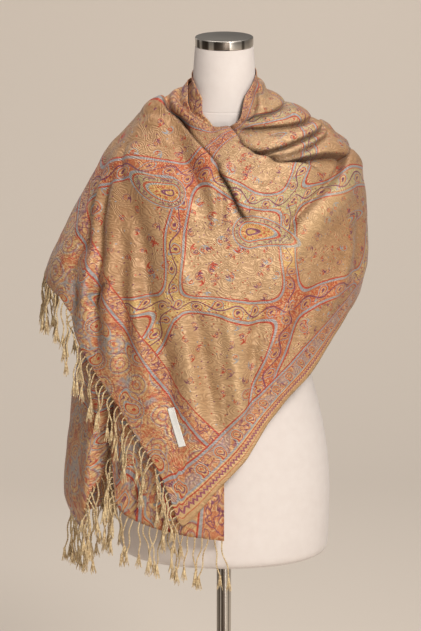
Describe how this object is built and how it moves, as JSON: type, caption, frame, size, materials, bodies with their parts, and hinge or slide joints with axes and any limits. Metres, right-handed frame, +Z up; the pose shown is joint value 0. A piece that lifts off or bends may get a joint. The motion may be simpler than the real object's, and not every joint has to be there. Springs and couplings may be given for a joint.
{
  "type": "pashmina shawl on a dress form",
  "caption": "Fringed pashmina shawl thrown round the shoulders of a limbless dress form that stands on a pole and a flat round base.",
  "frame": {"origin": "centre of the underside of the round base, on the floor", "axes": "+Z up along the pole, -Y the way the form faces, +X to the right of someone who looks at its front"},
  "size_m": [0.5405, 0.3379, 1.5197],
  "materials": {
    "shawl_cloth": "woven jacquard with a soft sheen",
    "fringe_yarn": "twisted yarn",
    "white_label": "woven tape",
    "linen_cover": "fine matt weave",
    "brushed_steel": "brushed"
  },
  "bodies": {
    "root": {"shawl_front_wrap": "shawl_cloth", "shawl_far_shoulder": "shawl_cloth", "shawl_back": "shawl_cloth", "shawl_shoulder_flap": "shawl_cloth", "shawl_under_end": "shawl_cloth", "fringe_thrown_front": "fringe_yarn", "fringe_thrown_side": "fringe_yarn", "fringe_under_front": "fringe_yarn", "fringe_under_side": "fringe_yarn", "label": "white_label", "form_body": "linen_cover", "neck_cap": "brushed_steel", "pole": "brushed_steel", "base": "brushed_steel"}
  },
  "joints": []
}
